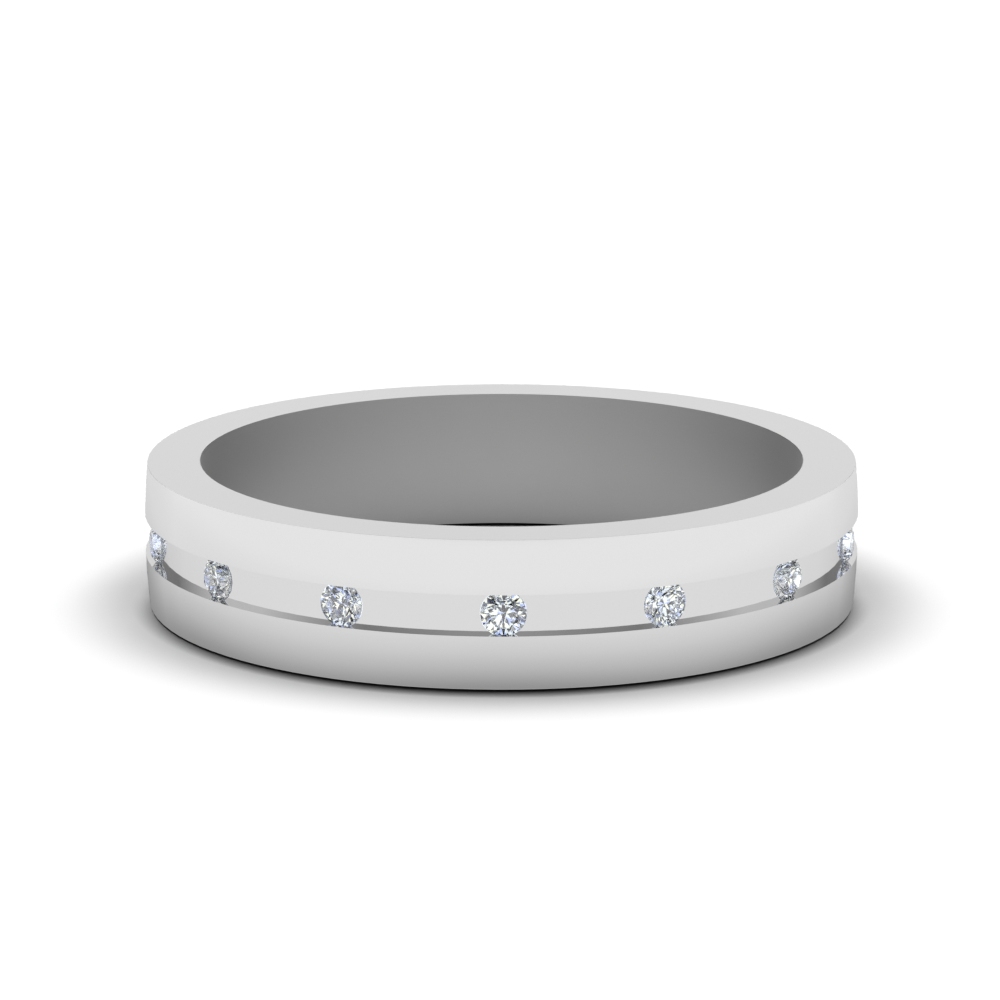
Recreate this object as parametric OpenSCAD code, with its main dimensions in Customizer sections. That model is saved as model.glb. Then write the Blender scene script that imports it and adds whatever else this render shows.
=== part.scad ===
// Diamond wedding band: a polished white gold ring with a groove round its outside, and
// round brilliant stones held at even steps between the groove's two walls.
// Millimetres. The band lies on its side: the finger hole's axis is Z, the lower face is
// at z = 0 and the first stone faces -Y.

/* [Band] */
// Inside diameter, across the finger hole
finger_d = 16.9; // [15:0.1:22]
// Width of the band, along the finger
band_w = 4; // [3:0.1:7]
// Thickness of the wall at the band's two edges
edge_wall = 1.48; // [1.4:0.01:2.2]
// Rise of the domed outside at mid width, above its edges
dome_rise = 0.1; // [0.02:0.01:0.2]
// Width of the bevel that breaks every sharp edge
edge_break = 0.01; // [0.005:0.005:0.05]

/* [Groove] */
// Width of the groove, between its two walls
groove_w = 1.1; // [1.06:0.01:1.14]
// Depth of the groove's floor below the top of the dome
groove_depth = 0.275; // [0.26:0.005:0.5]

/* [Diamonds] */
// Number of stones, evenly spaced round the band
stone_count = 14; // [7:1:20]
// Diameter of a stone at its girdle
stone_d = 1.2; // [1.18:0.01:1.24]
// Depth of the girdle's upper edge below the top of the dome
girdle_set = 0.25; // [0.22:0.01:0.3]
// Thickness of the girdle where its facets meet
girdle_t = 0.06; // [0.04:0.01:0.08]
// Width of the table, as a share of the stone's diameter
table_share = 0.57; // [0.53:0.01:0.63]
// Slope of the main facets above the girdle, in degrees
crown_angle = 36; // [33:0.5:37]
// Slope of the main facets below the girdle, in degrees
pavilion_angle = 41; // [40:0.5:42]
// Length of the star facets, as a share of the way from the table to the girdle
star_share = 0.5; // [0.45:0.01:0.6]
// Length of the lower girdle facets, as a share of the way from the girdle to the culet
lower_share = 0.77; // [0.7:0.01:0.85]
// Turn of each stone about its own axis, in degrees
stone_turn = 0; // [0:0.5:45]
// Clear space between a stone and the metal of its seat
seat_gap = 0.015; // [0.01:0.005:0.02]

/* [Hidden] */

$fn = 96;

finger_r = finger_d / 2;
edge_r = finger_r + edge_wall;
dome_r = edge_r + dome_rise;
floor_r = dome_r - groove_depth;
girdle_r = dome_r - girdle_set;

// The dome is an arc whose chord is the band's width and whose sagitta is the rise.
dome_arc_r = (band_w * band_w / 4 + dome_rise * dome_rise) / (2 * dome_rise);

// A brilliant is cut on 8 sectors. A main facet points along the middle of each sector, and
// the pairs of girdle facets meet where two sectors join.
sectors = 8;
sector = 360 / sectors;
stone_r = stone_d / 2;
table_r = table_share * stone_r;
table_side_r = table_r * cos(sector / 2);
kite_r = table_side_r + star_share * (stone_r - table_side_r);
lower_r = (1 - lower_share) * stone_r;
crown_h = (stone_r - table_r) * tan(crown_angle);
kite_h = (stone_r - kite_r * cos(sector / 2)) * tan(crown_angle);
lower_h = (stone_r - lower_r * cos(sector / 2)) * tan(pavilion_angle);
pavilion_h = stone_r * tan(pavilion_angle);

// Each girdle facet meets the round girdle in a shallow curve of this many straight steps.
facet_steps = 3;
girdle_facets = 2 * sectors;
girdle_points = girdle_facets * facet_steps;
facet_arc = 360 / girdle_facets;
upper_slope = kite_h / ((stone_r - kite_r) * cos(facet_arc / 2));
lower_slope = lower_h / ((stone_r - lower_r) * cos(facet_arc / 2));

// Where each group of the stone's points starts in its list.
kite_start = sectors;
upper_start = 2 * sectors;
lower_start = upper_start + girdle_points;
tip_start = lower_start + girdle_points;
culet = tip_start + sectors;

function ring_point(r, angle, z) = [r * cos(angle), r * sin(angle), z];

// How far the round girdle stands out beyond the straight line under its facet.
function bulge(angle) =
    stone_r * (cos(angle % facet_arc - facet_arc / 2) - cos(facet_arc / 2));

function girdle_angle(i) = 360 * i / girdle_points;

stone_points = concat(
    [for (s = [0 : sectors - 1]) ring_point(table_r, s * sector, crown_h)],
    [for (s = [0 : sectors - 1]) ring_point(kite_r, (s + 0.5) * sector, kite_h)],
    [for (i = [0 : girdle_points - 1])
        ring_point(stone_r, girdle_angle(i), -upper_slope * bulge(girdle_angle(i)))],
    [for (i = [0 : girdle_points - 1])
        ring_point(stone_r, girdle_angle(i), lower_slope * bulge(girdle_angle(i)) - girdle_t)],
    [for (s = [0 : sectors - 1]) ring_point(lower_r, (s + 0.5) * sector, -girdle_t - lower_h)],
    [[0, 0, -girdle_t - pavilion_h]]
);

function after(s) = (s + 1) % sectors;

function before(s) = (s + sectors - 1) % sectors;

function upper(i) = upper_start + i % girdle_points;

function lower(i) = lower_start + i % girdle_points;

function reversed(list) = [for (i = [len(list) - 1 : -1 : 0]) list[i]];

table_face = reversed([for (s = [0 : sectors - 1]) s]);
star_faces = [for (s = [0 : sectors - 1]) [after(s), kite_start + s, s]];
crown_main_faces = [for (s = [0 : sectors - 1])
    [kite_start + s, upper(2 * facet_steps * s), kite_start + before(s), s]];
upper_girdle_faces = [for (f = [0 : girdle_facets - 1])
    reversed(concat([kite_start + floor(f / 2)],
        [for (i = [0 : facet_steps]) upper(f * facet_steps + i)]))];
girdle_faces = [for (i = [0 : girdle_points - 1])
    [upper(i), upper(i + 1), lower(i + 1), lower(i)]];
lower_girdle_faces = [for (f = [0 : girdle_facets - 1])
    concat([tip_start + floor(f / 2)],
        [for (i = [0 : facet_steps]) lower(f * facet_steps + i)])];
pavilion_main_faces = [for (s = [0 : sectors - 1])
    [culet, tip_start + before(s), lower(2 * facet_steps * s), tip_start + s]];

stone_faces = concat([table_face], star_faces, crown_main_faces, upper_girdle_faces,
    girdle_faces, lower_girdle_faces, pavilion_main_faces);

// Puts what is drawn about the origin, facing up, in the place of stone i, facing outwards.
module at_stone(i)
    rotate([0, 0, (i - 1) * 360 / stone_count])
        translate([0, -girdle_r, band_w / 2])
            rotate([90, 0, 0])
                children();

// The band's section without its groove. The points overshoot the dome, which trims them.
module band_section()
    intersection() {
        polygon([
            [finger_r, edge_break],
            [finger_r + edge_break, 0],
            [edge_r - edge_break, 0],
            [dome_r, dome_rise + edge_break],
            [dome_r, band_w - dome_rise - edge_break],
            [edge_r - edge_break, band_w],
            [finger_r + edge_break, band_w],
            [finger_r, band_w - edge_break]
        ]);
        translate([dome_r - dome_arc_r, band_w / 2])
            circle(r = dome_arc_r);
    }

// The groove's section, with its mouth flared by the bevels of its two lips.
module groove_section() {
    mouth_r = dome_r - edge_break;
    beyond = dome_r + edge_break;
    flare = groove_w / 2 + 2 * edge_break;
    translate([0, band_w / 2])
        polygon([
            [floor_r, -groove_w / 2],
            [mouth_r, -groove_w / 2],
            [beyond, -flare],
            [beyond, flare],
            [mouth_r, groove_w / 2],
            [floor_r, groove_w / 2]
        ]);
}

// The seat clears the stone all round. It bites into both walls at the girdle, so that their
// lips stay over the stone's edge, and sinks a pit for its point into the groove's floor.
module seat()
    rotate_extrude()
        polygon([
            [0, -girdle_t - pavilion_h - seat_gap],
            [lower_r + seat_gap, -girdle_t - lower_h],
            [stone_r + seat_gap, -girdle_t],
            [stone_r + seat_gap, 0],
            [kite_r + seat_gap, kite_h],
            [0, kite_h]
        ]);

module band()
    color([0.86, 0.86, 0.85])
        difference() {
            rotate_extrude()
                difference() {
                    band_section();
                    groove_section();
                }
            for (i = [1 : stone_count])
                at_stone(i)
                    seat();
        }

module diamond(i)
    color([0.93, 0.95, 1])
        at_stone(i)
            rotate([0, 0, stone_turn])
                polyhedron(points = stone_points, faces = stone_faces, convexity = 2);

band();
for (i = [1 : stone_count])
    diamond(i);
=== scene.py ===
"""A polished white gold band with a row of small brilliants, lying on a white studio table."""
import math
from types import SimpleNamespace

import bpy
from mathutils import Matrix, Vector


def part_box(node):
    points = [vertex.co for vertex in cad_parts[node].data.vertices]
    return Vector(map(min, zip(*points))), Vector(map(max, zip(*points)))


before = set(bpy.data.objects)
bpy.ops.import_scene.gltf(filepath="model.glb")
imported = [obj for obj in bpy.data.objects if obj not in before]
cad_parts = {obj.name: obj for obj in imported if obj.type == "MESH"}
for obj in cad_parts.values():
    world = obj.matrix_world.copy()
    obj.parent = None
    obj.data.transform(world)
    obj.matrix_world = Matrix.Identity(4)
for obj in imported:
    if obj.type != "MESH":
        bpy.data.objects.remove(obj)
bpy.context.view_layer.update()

# Metres in a millimetre. Positions in the materials are in millimetres.
MM = 0.001

# The camera, fitted to the photograph's rims: its place seen from the band's axis, its turn and
# pitch in degrees, its sensor in mm, and its focal length and shifts in picture widths.
CAMERA_DISTANCE = 110.89 * MM
CAMERA_HEIGHT = 28.92 * MM
CAMERA_TURN = -0.29
CAMERA_PITCH = 13.304
CAMERA_NEAR = 0.01
CAMERA_FAR = 20
SENSOR = 36.0
FOCAL_LENGTH = 4.041
SHIFT_X = -0.0016
SHIFT_Y = 0.0005

# How many times light is followed from one surface to the next
MAX_BOUNCES = 24
TRANSMISSION_BOUNCES = 20
GLOSSY_BOUNCES = 12

# The band's section in mm. Its width is the frame's, and the rest repeats the CAD's own sizes.
band_low, band_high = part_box("band")
BAND_WIDTH = (band_high.z - band_low.z) / MM
MIDDLE = BAND_WIDTH / 2
HOLE_RADIUS = 8.45
GROOVE_FLOOR = 9.755
BAND_RADIUS = 10.03
DOME_RISE = 0.1
DOME_RADIUS = (BAND_WIDTH ** 2 / 4 + DOME_RISE ** 2) / (2 * DOME_RISE)

# The table lies a little under the band, so that a thin dark gap shows.
FLOOR_SIZE = 4.0
FLOOR_DROP = 0.07 * MM
FLOOR_ALBEDO = 0.8

# Its contact shadow: the reach and samples of its openness, the power that this is raised to at the
# sides, the rise of that power toward the front and back, and the least light that is left
CONTACT_REACH = 0.58 * MM
CONTACT_SAMPLES = 8
CONTACT_POWER = 0.4
CONTACT_AXIS_POWER = 2.4
CONTACT_DARKEST = 0.17

# Its shade beside the band's rear half: distances from the axis in mm, how far back it comes in
# (from -1 straight in front to 1 straight behind), and how dark it is
SIDE_SHADE_RADII = (10.22, 10.5, 10.75, 12.1)
SIDE_SHADE_FADE = (-0.25, 0.1)
SIDE_SHADE = 0.13

# The studio's light below the horizon, as (height in degrees, brightness) seen from the front.
# Toward the back the same light lies nearer to the horizon.
LOW_SKY = [
    (-90, 0.45), (-45, 0.55), (-35, 0.42), (-30, 0.34), (-27, 0.42), (-24, 0.69),
    (-21, 0.89), (-18, 1.01), (-14, 1.06), (-10, 1.15), (-3, 1.16),
]
LOW_SKY_RISE = 0.15

# Above the horizon: the height, and the brightness at these turns from the front to behind
HIGH_SKY_TURNS = (12, 45, 85, 130, 180)
HIGH_SKY = [
    (4, 0.55, 0.55, 0.88, 0.96, 0.89),
    (14, 0.58, 0.40, 1.02, 0.95, 0.89),
    (25, 0.00, 0.00, 0.00, 0.00, 0.00),
    (42, 0.00, 0.00, 0.00, 0.00, 0.00),
    (60, 0.00, 0.50, 4.80, 7.20, 4.50),
    (90, 1.10, 1.10, 1.10, 1.10, 1.10),
]
SKY_PEAK = 8.0

# Darker places, by turn and height in degrees: all that is low behind, the table's shade as the
# band's lower half mirrors it, and a gap low above the horizon at the rear quarters
BEHIND_TURNS = (128, 180)
BEHIND_HEIGHTS = (4, -6)
BEHIND_DIM = 0.26
SHADE_TURNS = (142, 175)
SHADE_HEIGHTS = (-18.5, -17.5, -14.4, -13.9)
SHADE_DIM = 0.5
GAP_TURNS = (107, 134, 156, 168)
GAP_HEIGHTS = (5, 11, 22, 28)
GAP_DIM = 0.66

# What the metal alone sees between the low sky and the lamps, and far below the horizon
FILL_HEIGHTS = (17, 26, 46, 56)
FILL = 0.75
DEEP_HEIGHTS = (-28, -33)
DEEP_FILL = 0.9

# The cells that the stones see. Of all cells, the shares at which the next level and tint start
SPARKLE_SHARES = (0.34, 0.67)
SPARKLE_TINTS = ((0.48, 0.58, 1.0), (0.87, 0.95, 1.0), (0.98, 1.0, 0.85))
SPARKLE_TINT_SHARES = (0.32, 0.86)

# What only the stones see through their facets: a sphere of cells, in metres
SURROUND_RADIUS = 1.0
SURROUND_COLUMNS = 48
SURROUND_ROWS = 24
SURROUND_SCALE = 3.2
SURROUND_SEED = 80
SURROUND_LEVELS = (0.0, 0.34, 1.3)

# What only mirrors see: the table inside the hole, a glowing disc with the band's shadow painted on it, as
# (distance from the axis in mm, brightness)
HOLE_GROUND = [(0.0, 1.15), (7.2, 0.5), (8.4, 0.34)]
GROUND_RADIUS = HOLE_GROUND[-1][0]
GROUND_SIDES = 96

# White gold: its colour and roughness outside and inside the finger hole, where the darker colour is a
# painted shade, and its roughness on the edges, which are the faces whose normal leans up or down by these
# shares
GOLD = 0.67
INSIDE_SHADED_GOLD = 0.5
INSIDE_RADIUS = HOLE_RADIUS + 0.02
POLISH_ROUGHNESS = 0.055
POLISH_SPREAD = 0.02
INSIDE_ROUGHNESS = 0.42
INSIDE_SPREAD = 0.06
EDGE_ROUGHNESS = 0.3
EDGE_LEANS = (0.2, 0.4, 0.8, 0.97)

# Its polish lines, smudges and grain, in patterns a mm and heights in mm
LINES_ALONG = 0.4
LINES_ACROSS = 34.0
LINES_HEIGHT = 0.00002
SMUDGE_SCALE = 0.45
GRAIN_SCALE = 9.0
GRAIN_HEIGHT = 0.0012

# Its turned faces: where the dome starts, and how straight outward or inward they look at least
DOME_FROM = 9.9
TURNED_LEAN = 0.6

# The stones' seats: how far from mid height and from the axis they are, and the cells of the glow painted
# in them, which stands for the light that the stones give back
SEAT_REACH = 0.65
SEAT_RADII = (8.6, GROOVE_FLOOR - 0.02)
SEAT_GLOW_SCALE = 2.2
SEAT_GLOW_SEED = 14
SEAT_GLOW_LEVELS = (0.0, 0.26, 0.95)

# The cuts that the seats leave in the groove's two lips, and the darker colour painted in them as shade
LIP_CUT_REACHES = (0.553, 0.65)
LIP_CUT_RADII = (GROOVE_FLOOR - 0.02, 9.95)
LIP_CUT_SHADE_COLOUR = (0.3, 0.3, 0.31, 1)

# Diamond. Its girdle's faces look outward from the band by less than this share.
DIAMOND_IOR = 2.417
GIRDLE_LEAN = 0.12
GIRDLE_ROUGHNESS = 0.3


def plug(tree, socket, value):
    """Links an output to a socket, or sets the socket's own value."""
    if isinstance(value, bpy.types.NodeSocket):
        tree.links.new(value, socket)
    else:
        socket.default_value = value


def node(tree, kind, **values):
    """Adds a node of a kind. Values are numbers or outputs for its inputs, spaces written as _."""
    n = tree.nodes.new(kind)
    for name, value in values.items():
        plug(tree, n.inputs[name.replace("_", " ")], value)
    return n


def math_node(tree, operation, *operands):
    """A Math node. Each operand is a number or an output."""
    n = tree.nodes.new("ShaderNodeMath")
    n.operation = operation
    for socket, operand in zip(n.inputs, operands):
        plug(tree, socket, operand)
    return n.outputs[0]


def product(tree, first, *others):
    """Numbers and outputs multiplied with each other."""
    for other in others:
        first = math_node(tree, "MULTIPLY", first, other)
    return first


def vector_math(tree, operation, *operands):
    """A Vector Math node on vectors. A length or a dot product gives a number."""
    n = tree.nodes.new("ShaderNodeVectorMath")
    n.operation = operation
    for socket, operand in zip(n.inputs, operands):
        plug(tree, socket, operand)
    return n.outputs["Value" if operation in ("LENGTH", "DOT_PRODUCT") else "Vector"]


def scale_vector(tree, vector, scale):
    """A vector multiplied by a number."""
    n = tree.nodes.new("ShaderNodeVectorMath")
    n.operation = "SCALE"
    plug(tree, n.inputs["Vector"], vector)
    plug(tree, n.inputs["Scale"], scale)
    return n.outputs["Vector"]


def mix(tree, factor, a, b, kind="RGBA", mode="MIX"):
    """A Mix of two colours, numbers (FLOAT) or vectors (VECTOR), each a value or an output."""
    n = node(tree, "ShaderNodeMix", Factor=factor)
    n.data_type = kind
    n.blend_type = mode
    wanted = "VALUE" if kind == "FLOAT" else kind
    for name, value in (("A", a), ("B", b)):
        plug(tree, next(s for s in n.inputs if s.name == name and s.type == wanted), value)
    return next(s for s in n.outputs if s.type == wanted)


def grey(level):
    return (level, level, level, 1)


def ramp(tree, factor, stops, kind="LINEAR"):
    """A Color Ramp of (position, level) stops. A level is a number or a colour."""
    n = node(tree, "ShaderNodeValToRGB", Fac=factor)
    n.color_ramp.interpolation = kind
    elements = n.color_ramp.elements
    while len(elements) < len(stops):
        elements.new(0.5)
    for element, (position, level) in zip(elements, stops):
        element.position = position
        element.color = (*level, 1) if isinstance(level, tuple) else grey(level)
    return n.outputs["Color"]


def between(tree, value, span):
    """0 at a span's start, 1 at its end and straight between."""
    n = node(tree, "ShaderNodeMapRange", Value=value, From_Min=span[0], From_Max=span[1])
    return n.outputs["Result"]


def plateau(tree, value, corners):
    """0 outside the four corners, 1 between the middle two and straight between."""
    return product(tree, between(tree, value, corners[:2]), between(tree, value, corners[:1:-1]))


def inside_span(tree, value, span):
    """1 inside a span and 0 outside it."""
    above = math_node(tree, "GREATER_THAN", value, span[0])
    return product(tree, above, math_node(tree, "LESS_THAN", value, span[1]))


def noise(tree, vector, scale, detail=2.0):
    return node(tree, "ShaderNodeTexNoise", Vector=vector, Scale=scale, Detail=detail).outputs["Fac"]


def band_coordinates(tree):
    """Where a point is in mm, how far from the axis and which way outward, and the mesh's normal."""
    place = node(tree, "ShaderNodeTexCoord")
    mm = scale_vector(tree, place.outputs["Object"], 1 / MM)
    xyz = node(tree, "ShaderNodeSeparateXYZ", Vector=mm).outputs
    flat = node(tree, "ShaderNodeCombineXYZ", X=xyz["X"], Y=xyz["Y"]).outputs["Vector"]
    return SimpleNamespace(
        mm=mm, x=xyz["X"], y=xyz["Y"], z=xyz["Z"],
        radius=vector_math(tree, "LENGTH", flat),
        outward=vector_math(tree, "NORMALIZE", flat),
        normal=place.outputs["Normal"],
    )


def new_material(name, shader_kind, **values):
    """A material of one shader. Gives the material, its node tree and the shader's inputs."""
    material = bpy.data.materials.new(name)
    material.use_nodes = True
    tree = material.node_tree
    tree.nodes.clear()
    shader = node(tree, shader_kind, **values)
    node(tree, "ShaderNodeOutputMaterial", Surface=shader.outputs[0])
    return material, tree, shader.inputs


def light_material(name):
    """An emission material that glossy and transmitted rays find by themselves."""
    material, tree, inputs = new_material(name, "ShaderNodeEmission")
    material.cycles.emission_sampling = "NONE"
    return material, tree, inputs


def sparkle(tree, vector, scale, seed, levels):
    """Bright, middling and dark cells in three faint tints."""
    cells = node(tree, "ShaderNodeTexVoronoi", Vector=vector, Scale=scale)
    cells.voronoi_dimensions = "4D"
    cells.inputs["W"].default_value = seed
    pick = node(tree, "ShaderNodeSeparateColor", Color=cells.outputs["Color"]).outputs
    level = ramp(tree, pick[0], list(zip((0.0, *SPARKLE_SHARES), levels)), "CONSTANT")
    tint = ramp(tree, pick[1], list(zip((0.0, *SPARKLE_TINT_SHARES), SPARKLE_TINTS)), "CONSTANT")
    return mix(tree, 1.0, level, tint, mode="MULTIPLY")


def turned_normal(tree, at, facing, seat):
    """The normal of the faces turned about the axis, without the waver of the mesh's triangles.

    A bevel takes the normal of the wall beside it, so that it draws no line of its own.
    """
    height = math_node(tree, "SUBTRACT", at.z, MIDDLE)
    from_centre = math_node(tree, "ADD", at.radius, DOME_RADIUS - BAND_RADIUS)
    domed = math_node(tree, "GREATER_THAN", at.radius, DOME_FROM)
    rise = product(tree, math_node(tree, "DIVIDE", height, from_centre), domed)
    lean = node(tree, "ShaderNodeCombineXYZ", Z=rise).outputs["Vector"]
    leaning = vector_math(tree, "ADD", at.outward, lean)
    signed = scale_vector(tree, leaning, math_node(tree, "SIGN", facing))
    upright = math_node(tree, "GREATER_THAN", math_node(tree, "ABSOLUTE", facing), TURNED_LEAN)
    turned = product(tree, upright, math_node(tree, "SUBTRACT", 1.0, seat))
    world = node(tree, "ShaderNodeVectorTransform", Vector=mix(tree, turned, at.normal, signed, "VECTOR"))
    world.vector_type = "NORMAL"
    world.convert_from = "OBJECT"
    world.convert_to = "WORLD"
    return world.outputs["Vector"]


def polish_lines(tree, at):
    """Fine lines that run along the band on every face."""
    across = product(tree, math_node(tree, "ADD", at.z, at.radius), LINES_ACROSS)
    along = [product(tree, way, LINES_ALONG) for way in (at.x, at.y)]
    stretched = node(tree, "ShaderNodeCombineXYZ", X=along[0], Y=along[1], Z=across).outputs["Vector"]
    return noise(tree, stretched, 1.0, 3.0)


def white_gold():
    """Polished outside with faint lines along the band, satin inside and darkened there as painted shade,
    and softer worn edges. The seat cuts in the lips get painted shade, and the seats a painted glow.
    """
    material, tree, inputs = new_material("white gold", "ShaderNodeBsdfPrincipled", Metallic=1.0)
    material.cycles.emission_sampling = "NONE"
    at = band_coordinates(tree)
    facing = vector_math(tree, "DOT_PRODUCT", at.outward, at.normal)
    off_middle = math_node(tree, "ABSOLUTE", math_node(tree, "SUBTRACT", at.z, MIDDLE))
    inside = math_node(tree, "LESS_THAN", at.radius, INSIDE_RADIUS)
    near = math_node(tree, "LESS_THAN", off_middle, SEAT_REACH)
    seat = product(tree, near, inside_span(tree, at.radius, SEAT_RADII))
    lip_cut_shade = product(tree, inside_span(tree, off_middle, LIP_CUT_REACHES),
                      inside_span(tree, at.radius, LIP_CUT_RADII))
    upward = node(tree, "ShaderNodeSeparateXYZ", Vector=at.normal).outputs["Z"]
    edge = plateau(tree, math_node(tree, "ABSOLUTE", upward), EDGE_LEANS)

    lines = polish_lines(tree, at)
    smudge = noise(tree, at.mm, SMUDGE_SCALE)
    grain = noise(tree, at.mm, GRAIN_SCALE, 1.0)
    wander = math_node(tree, "SUBTRACT", math_node(tree, "ADD", lines, smudge), 1.0)
    polish = math_node(tree, "ADD", product(tree, wander, POLISH_SPREAD), POLISH_ROUGHNESS)
    satin = math_node(tree, "ADD", product(tree, wander, INSIDE_SPREAD), INSIDE_ROUGHNESS)
    rough = mix(tree, inside, polish, satin, "FLOAT")
    height = mix(tree, inside, product(tree, lines, LINES_HEIGHT),
                 product(tree, grain, GRAIN_HEIGHT), "FLOAT")
    normal = turned_normal(tree, at, facing, seat)
    bump = node(tree, "ShaderNodeBump", Strength=1.0, Distance=MM, Height=height, Normal=normal)
    # The darker colour inside the hole is painted shade
    colour = mix(tree, inside, grey(GOLD), grey(INSIDE_SHADED_GOLD))

    # Painted shade in the seat cuts of the lips
    plug(tree, inputs["Base Color"], mix(tree, lip_cut_shade, colour, LIP_CUT_SHADE_COLOUR))
    plug(tree, inputs["Roughness"], mix(tree, edge, rough, EDGE_ROUGHNESS, "FLOAT"))
    plug(tree, inputs["Normal"], bump.outputs["Normal"])
    # Painted glow in the seats, standing for the light that the stones give back
    plug(tree, inputs["Emission Color"], sparkle(tree, at.mm, SEAT_GLOW_SCALE, SEAT_GLOW_SEED, SEAT_GLOW_LEVELS))
    plug(tree, inputs["Emission Strength"], seat)
    return material


def diamond():
    """Clear polished facets and a frosted girdle."""
    material, tree, inputs = new_material("diamond", "ShaderNodeBsdfGlass", IOR=DIAMOND_IOR)
    at = band_coordinates(tree)
    facing = math_node(tree, "ABSOLUTE", vector_math(tree, "DOT_PRODUCT", at.outward, at.normal))
    girdle = math_node(tree, "LESS_THAN", facing, GIRDLE_LEAN)
    plug(tree, inputs["Roughness"], product(tree, girdle, GIRDLE_ROUGHNESS))
    return material


def table_material():
    """White paper with a painted contact shadow under the band, darkest in front and behind, and a painted
    shade beside it.
    """
    material, tree, inputs = new_material("table", "ShaderNodeBsdfDiffuse")
    at = band_coordinates(tree)
    away = math_node(tree, "DIVIDE", at.y, at.radius)
    along = product(tree, math_node(tree, "ABSOLUTE", away), CONTACT_AXIS_POWER)
    # The contact shadow and the shade beside the band are painted into the table's colour
    contact = node(tree, "ShaderNodeAmbientOcclusion", Distance=CONTACT_REACH)
    contact.samples = CONTACT_SAMPLES
    power = math_node(tree, "ADD", along, CONTACT_POWER)
    openness = math_node(tree, "POWER", contact.outputs["AO"], power)
    openness = math_node(tree, "MAXIMUM", openness, CONTACT_DARKEST)
    beside = product(tree, between(tree, away, SIDE_SHADE_FADE), SIDE_SHADE,
                     plateau(tree, at.radius, SIDE_SHADE_RADII))
    light = math_node(tree, "SUBTRACT", 1.0, beside)
    plug(tree, inputs["Color"], product(tree, openness, light, FLOOR_ALBEDO))
    return material


def circle(radius, z, count):
    """Points evenly spaced round the band's axis."""
    turns = [2 * math.pi * i / count for i in range(count)]
    return [(radius * math.cos(t), radius * math.sin(t), z) for t in turns]


def stage_mesh(name, points, faces, material):
    """A mesh that isn't part of the band."""
    mesh = bpy.data.meshes.new(name)
    mesh.from_pydata(points, [], faces)
    mesh.materials.append(material)
    thing = bpy.data.objects.new(name, mesh)
    bpy.context.scene.collection.objects.link(thing)
    return thing


def seen_only(thing, ray):
    """Leaves a stage object in sight of one kind of ray."""
    for kind in ("camera", "diffuse", "glossy", "transmission", "volume_scatter", "shadow"):
        setattr(thing, "visible_" + kind, kind == ray)


def make_floor():
    """The table. The band's metal mirrors the studio below the horizon too, as in the photograph."""
    h = FLOOR_SIZE / 2
    corners = [(x * h, y * h, -FLOOR_DROP) for x, y in ((-1, -1), (1, -1), (1, 1), (-1, 1))]
    floor = stage_mesh("floor", corners, [(0, 1, 2, 3)], table_material())
    floor.visible_glossy = False
    floor.visible_transmission = False


def make_surround():
    """Bright cards, dark gaps and faint colours all round, which give the stones their fire."""
    material, tree, inputs = light_material("stone surround")
    place = node(tree, "ShaderNodeTexCoord").outputs["Object"]
    plug(tree, inputs["Color"], sparkle(tree, place, SURROUND_SCALE, SURROUND_SEED, SURROUND_LEVELS))
    points, faces = [], []
    for row in range(SURROUND_ROWS + 1):
        slope = math.pi * row / SURROUND_ROWS
        radius, z = SURROUND_RADIUS * math.sin(slope), SURROUND_RADIUS * math.cos(slope)
        points += circle(radius, z, SURROUND_COLUMNS)
    for row in range(SURROUND_ROWS):
        upper = row * SURROUND_COLUMNS
        lower = upper + SURROUND_COLUMNS
        for i in range(SURROUND_COLUMNS):
            k = (i + 1) % SURROUND_COLUMNS
            faces.append((upper + i, lower + i, lower + k, upper + k))
    seen_only(stage_mesh("stone_surround", points, faces, material), "transmission")


def make_hole_ground():
    """The table inside the hole as a glowing disc with a painted shadow darker toward the band, which the
    floor itself doesn't show to metal.
    """
    material, tree, inputs = light_material("hole ground")
    share = math_node(tree, "DIVIDE", band_coordinates(tree).radius, GROUND_RADIUS)
    plug(tree, inputs["Color"], ramp(tree, share, [(r / GROUND_RADIUS, level) for r, level in HOLE_GROUND]))
    points = circle(GROUND_RADIUS * MM, -FLOOR_DROP, GROUND_SIDES)
    seen_only(stage_mesh("hole_ground", points, [tuple(range(GROUND_SIDES))], material), "glossy")


def half_turns(degrees):
    """Degrees as the half turns in which the sky's heights and turns are counted."""
    return [d / 180 for d in degrees]


def sky_coordinates(tree):
    """A direction's height and turn from the front in half turns, and how far round the back it is.

    The last is 0 in front, 1 at the sides and 2 straight behind.
    """
    place = node(tree, "ShaderNodeTexCoord")
    xyz = node(tree, "ShaderNodeSeparateXYZ", Vector=place.outputs["Generated"]).outputs
    height = math_node(tree, "DIVIDE", math_node(tree, "ARCSINE", xyz["Z"]), math.pi)
    across = math_node(tree, "ABSOLUTE", xyz["X"])
    around = math_node(tree, "ARCTAN2", across, product(tree, xyz["Y"], -1.0))
    behind = math_node(tree, "SUBTRACT", 1.0, math_node(tree, "COSINE", around))
    return height, math_node(tree, "DIVIDE", around, math.pi), behind


def sky_profiles(tree, place, turn):
    """The sky's levels by height, at each turn that HIGH_SKY names and between these."""
    sky = None
    for column, azimuth in enumerate(HIGH_SKY_TURNS):
        stops = LOW_SKY + [(row[0], row[column + 1]) for row in HIGH_SKY]
        profile = ramp(tree, place, [(e / 180 + 0.5, level / SKY_PEAK) for e, level in stops])
        if column == 0:
            sky = profile
        else:
            span = half_turns((HIGH_SKY_TURNS[column - 1], azimuth))
            sky = mix(tree, between(tree, turn, span), sky, profile)
    return sky


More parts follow.
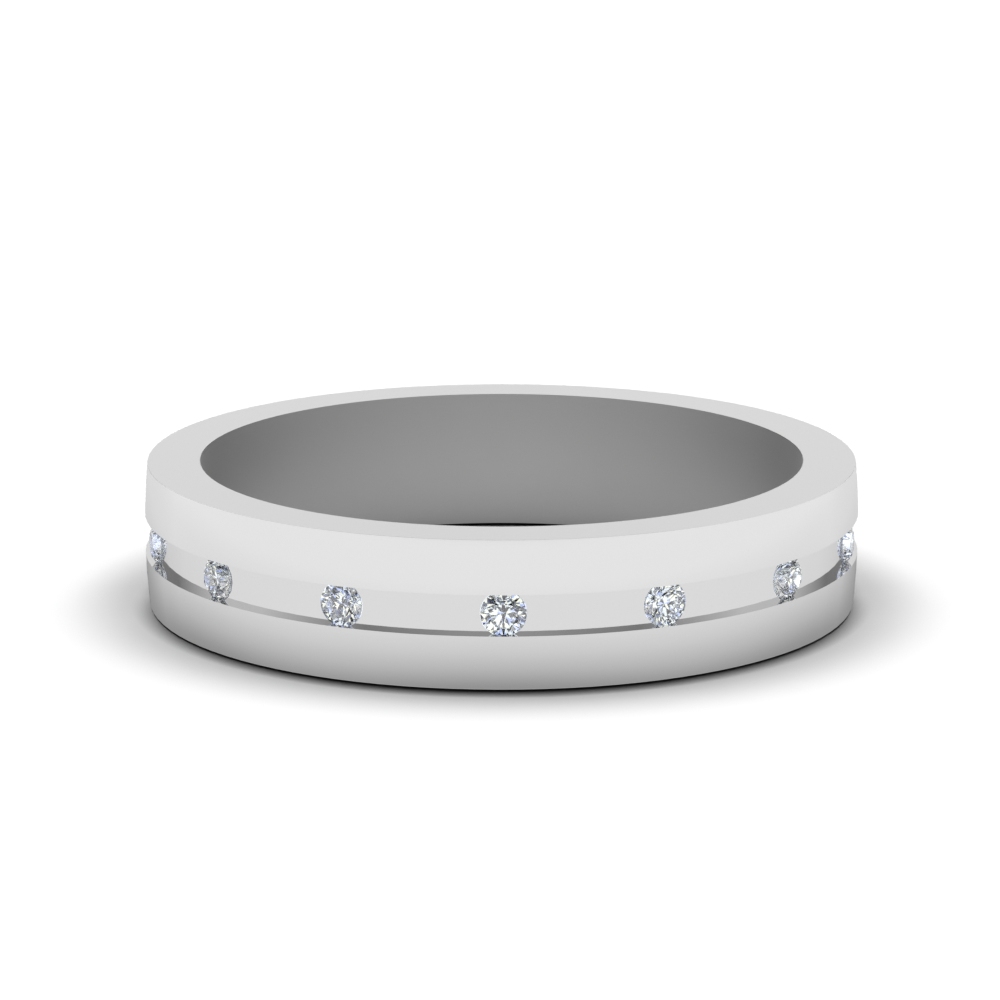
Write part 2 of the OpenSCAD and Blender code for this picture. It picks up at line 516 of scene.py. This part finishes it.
def make_world():
    """The studio all round, as the table and the metal see it."""
    world = bpy.data.worlds.new("studio")
    world.use_nodes = True
    bpy.context.scene.world = world
    tree = world.node_tree
    height, turn, behind = sky_coordinates(tree)
    rise = product(tree, math_node(tree, "POWER", behind, 2.0), LOW_SKY_RISE)
    risen = product(tree, height, math_node(tree, "ADD", rise, 1.0))
    below = math_node(tree, "LESS_THAN", height, 0.0)
    place = math_node(tree, "ADD", mix(tree, below, height, risen, "FLOAT"), 0.5)
    sky = sky_profiles(tree, place, turn)

    dims = [
        product(tree, between(tree, turn, half_turns(BEHIND_TURNS)), BEHIND_DIM,
                between(tree, height, half_turns(BEHIND_HEIGHTS))),
        product(tree, plateau(tree, height, half_turns(SHADE_HEIGHTS)), SHADE_DIM,
                between(tree, turn, half_turns(SHADE_TURNS))),
        product(tree, plateau(tree, turn, half_turns(GAP_TURNS)),
                plateau(tree, height, half_turns(GAP_HEIGHTS)), GAP_DIM),
    ]
    for dim in dims:
        sky = mix(tree, dim, sky, grey(0))

    # A stone's facets give singular rays, so glossy rays that aren't singular come from the metal.
    ray = node(tree, "ShaderNodeLightPath").outputs
    metal = math_node(tree, "GREATER_THAN", ray["Is Glossy Ray"], ray["Is Singular Ray"])
    fills = [
        (plateau(tree, height, half_turns(FILL_HEIGHTS)), FILL),
        (between(tree, risen, half_turns(DEEP_HEIGHTS)), DEEP_FILL),
    ]
    for share, level in fills:
        sky = mix(tree, product(tree, share, metal), sky, grey(level / SKY_PEAK))
    background = tree.nodes["Background"]
    plug(tree, background.inputs["Color"], sky)
    plug(tree, background.inputs["Strength"], SKY_PEAK)


def make_camera():
    data = bpy.data.cameras.new("camera")
    data.sensor_width = SENSOR
    data.lens = FOCAL_LENGTH * SENSOR
    data.shift_x = SHIFT_X
    data.shift_y = SHIFT_Y
    data.clip_start = CAMERA_NEAR
    data.clip_end = CAMERA_FAR
    camera = bpy.data.objects.new("camera", data)
    bpy.context.scene.collection.objects.link(camera)
    a = math.radians(CAMERA_TURN)
    camera.location = (CAMERA_DISTANCE * math.sin(a), -CAMERA_DISTANCE * math.cos(a), CAMERA_HEIGHT)
    camera.rotation_euler = (math.radians(90 - CAMERA_PITCH), 0, a)
    bpy.context.scene.camera = camera


make_camera()
make_floor()
make_world()
make_surround()
make_hole_ground()

gold, stone = white_gold(), diamond()
for name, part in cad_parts.items():
    part.material_slots[0].material = gold if name == "band" else stone

scene = bpy.context.scene
scene.view_settings.view_transform = "Standard"
scene.cycles.max_bounces = MAX_BOUNCES
scene.cycles.transmission_bounces = TRANSMISSION_BOUNCES
scene.cycles.glossy_bounces = GLOSSY_BOUNCES
scene.cycles.caustics_reflective = False
scene.cycles.caustics_refractive = False
